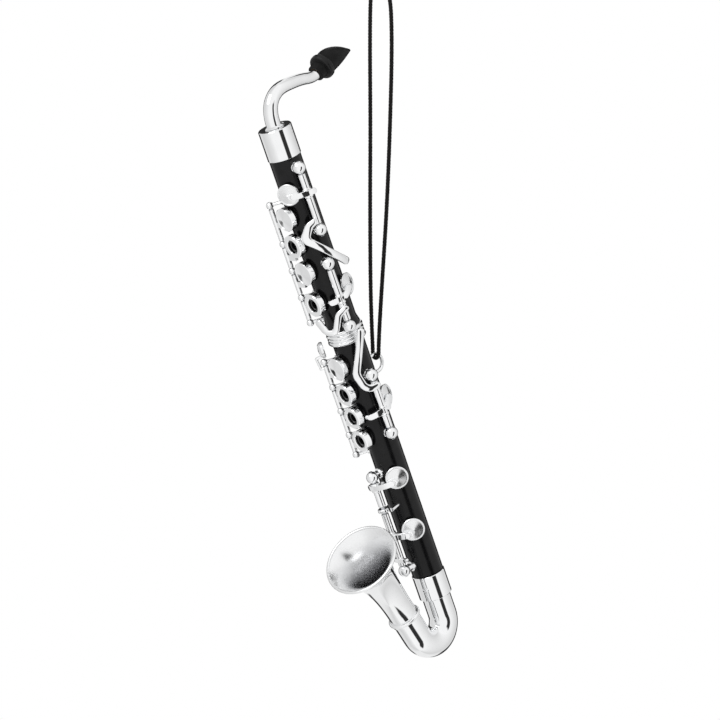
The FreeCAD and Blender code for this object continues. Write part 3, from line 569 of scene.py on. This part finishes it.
def make_knot(material):
    """The knot and its two tails, one to each side."""
    bm = bmesh.new()
    braid(bm, evenly_spaced(knot_line(), BRAID_STEP))
    for side in (-1, 1):
        tail = smooth_line([Vector((x, side * y, z)) * MM for x, y, z in KNOT_TAIL])
        braid(bm, evenly_spaced(tail, BRAID_STEP))
    knot = new_piece("tied_knot", mesh_from(bm, "tied_knot"), material, "cord_loop")
    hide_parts("cord_knot")
    return knot


# Studio

FLOOR_DROP = 0.12             # below the lowest point of the object
FLOOR_R = 0.75
FLOOR_SIDES = 96
STAND_TURNS = (31, 53)        # degrees to the right of the camera's direction
STAND_HEIGHTS = (-62, 12)     # degrees above the camera's level
WING_TURNS = (140, 170)       # on both sides, behind the object
WING_HEIGHTS = (-32, 60)
PANEL_SOFTNESS = (3, 6)       # degrees over which a panel's edges fade, across and up
PANEL_DARK = 0.97
WALL_GREYS = [(-150, 0.9), (-110, 0.7), (-60, 0.85), (-30, 1.0),
              (60, 1.0), (90, 0.85), (120, 0.7), (150, 0.9)]   # degrees round from the camera, and grey
LAMP_SIZE = 0.5
LAMP_POWER = 1.6
LAMP_PLACE = (-0.55, 0.5, 0.55)   # right, towards the camera and up, in metres


def studio_world():
    """A white cyclorama with a dark stand on the camera's right and dark wings behind the object."""
    world = bpy.data.worlds.new("studio")
    bpy.context.scene.world = world
    world.use_nodes = True
    tree = world.node_tree
    new, link = tree.nodes.new, tree.links.new
    direction = new("ShaderNodeTexCoord").outputs["Generated"]

    def along(axis):
        node = new("ShaderNodeVectorMath")
        node.operation = "DOT_PRODUCT"
        node.inputs[1].default_value = axis
        link(direction, node.inputs[0])
        return node.outputs["Value"]

    def maths(operation, a, b=None):
        node = new("ShaderNodeMath")
        node.operation = operation
        for socket, value in zip(node.inputs, (a, b)):
            if isinstance(value, (int, float)):
                socket.default_value = value
            elif value is not None:
                link(value, socket)
        return node.outputs["Value"]

    def ramp(value, stops):
        node = new("ShaderNodeValToRGB")
        elements = node.color_ramp.elements
        while len(elements) < len(stops):
            elements.new(1.0)
        for element, (place, grey) in zip(elements, stops):
            element.position = place
            element.color = (grey, grey, grey, 1)
        link(value, node.inputs["Fac"])
        return node.outputs["Color"]

    turn = maths("ARCTAN2", along(TO_RIGHT), along(TO_CAMERA))
    turn = maths("ADD", maths("DIVIDE", turn, 2 * math.pi), 0.5)
    height = maths("ADD", maths("DIVIDE", maths("ARCSINE", along(UP)), math.pi), 0.5)

    def at(degrees):
        return degrees / 360 + 0.5

    def level(degrees):
        return degrees / 180 + 0.5

    def panel(across, up):
        """How much of a direction a dark panel covers, between two turns and two heights."""
        (left, right), (low, high), (side, end) = across, up, PANEL_SOFTNESS
        wide = ramp(turn, [(at(left - side), 0.0), (at(left), 1.0),
                           (at(right), 1.0), (at(right + side), 0.0)])
        tall = ramp(height, [(level(low - end), 0.0), (level(low), 1.0),
                             (level(high), 1.0), (level(high + end), 0.0)])
        return maths("MULTIPLY", wide, tall)

    near, far = WING_TURNS
    wings = maths("ADD", panel((-far, -near), WING_HEIGHTS), panel((near, far), WING_HEIGHTS))
    dark = maths("ADD", panel(STAND_TURNS, STAND_HEIGHTS), wings)
    walls = ramp(turn, [(at(degrees), grey) for degrees, grey in WALL_GREYS])
    lit = maths("MULTIPLY", walls, maths("SUBTRACT", 1.0, maths("MULTIPLY", dark, PANEL_DARK)))
    seen = new("ShaderNodeLightPath").outputs["Is Camera Ray"]
    mix = new("ShaderNodeMix")
    mix.data_type = "FLOAT"
    link(seen, mix.inputs[0])
    link(lit, mix.inputs[2])
    mix.inputs[3].default_value = 1.0
    link(mix.outputs[0], tree.nodes["Background"].inputs["Color"])


def make_floor():
    """A wide pale floor, well below the hanging object and out of the camera's view."""
    bm = bmesh.new()
    bmesh.ops.create_circle(bm, cap_ends=True, segments=FLOOR_SIDES, radius=FLOOR_R)
    floor = bpy.data.objects.new("studio_floor", mesh_from(bm, "studio_floor"))
    floor.location = (0, 0, cad_box[0][2] - FLOOR_DROP)
    bpy.context.scene.collection.objects.link(floor)
    n = Nodes("pale_floor")
    n.link(n.ramp(n.noise(30, 3), 0.86, 0.90), n.shader.inputs["Base Color"])
    n.shader.inputs["Roughness"].default_value = 0.9
    floor.data.materials.append(n.material)
    floor.visible_glossy = False


def make_light():
    """One large soft lamp, high on the camera's left."""
    data = bpy.data.lights.new("softbox", "AREA")
    data.size = LAMP_SIZE
    data.energy = LAMP_POWER
    lamp = bpy.data.objects.new("softbox", data)
    centre = Vector((0, 0, -HANG_DROP))
    right, ahead, up = LAMP_PLACE
    lamp.location = centre + TO_CAMERA * ahead + TO_RIGHT * right + UP * up
    lamp.rotation_euler = (centre - lamp.location).to_track_quat("-Z", "Y").to_euler()
    bpy.context.scene.collection.objects.link(lamp)


def make_camera():
    """A long lens, level with the eye that the cord goes through."""
    data = bpy.data.cameras.new("camera")
    data.sensor_fit = "HORIZONTAL"
    data.angle = 2 * math.atan(CAMERA_FIELD / 2 / CAMERA_DISTANCE)
    data.clip_start = 0.01
    camera = bpy.data.objects.new("camera", data)
    target = Vector((0, 0, -HANG_DROP)) + TO_RIGHT * VIEW_SHIFT[0] + UP * VIEW_SHIFT[1]
    camera.location = target + TO_CAMERA * CAMERA_DISTANCE
    camera.rotation_euler = (-TO_CAMERA).to_track_quat("-Z", "Y").to_euler()
    bpy.context.scene.collection.objects.link(camera)
    bpy.context.scene.camera = camera


make_camera()
materials = make_materials()
dress_cad(materials)
make_cord(materials["cord"], make_knot(materials["cord"]))
make_castings(materials["key"])
for key in PADDED_KEYS:
    make_spine(key, materials["key"])
make_bell(materials)
studio_world()
make_floor()
make_light()
bpy.context.scene.view_settings.view_transform = "Standard"
